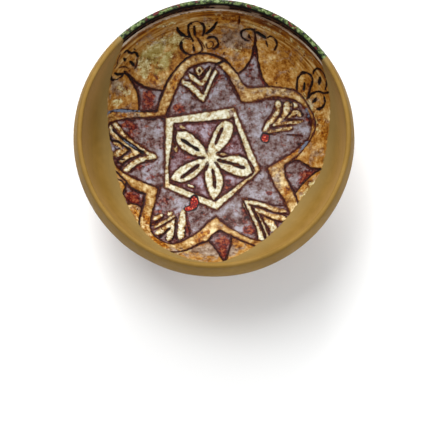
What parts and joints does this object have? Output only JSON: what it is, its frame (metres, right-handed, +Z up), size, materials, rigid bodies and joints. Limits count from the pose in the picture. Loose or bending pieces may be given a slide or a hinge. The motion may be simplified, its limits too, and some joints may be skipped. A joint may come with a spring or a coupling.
{
  "type": "footed sgraffito bowl with plaster infill",
  "caption": "Footed glazed bowl with a carved star, rosette and palmettes inside, its lost rim and wall made good in plain plaster.",
  "frame": {"origin": "under the middle of the foot, on the surface that the bowl stands on", "axes": "+Z up through the middle of the bowl, +Y towards the part of the rim that is original, +X to the right of it as the star is seen from above"},
  "size_m": [0.2, 0.2, 0.0996],
  "materials": {
    "glazed_clay": "amber lead glaze over cream slip, with manganese-violet grounds and dark incised lines, bare red clay on the foot",
    "tinted_plaster": "smooth matte tan plaster"
  },
  "bodies": {
    "root": {"glazed_bowl": "glazed_clay", "plaster_infill": "tinted_plaster"}
  },
  "joints": []
}
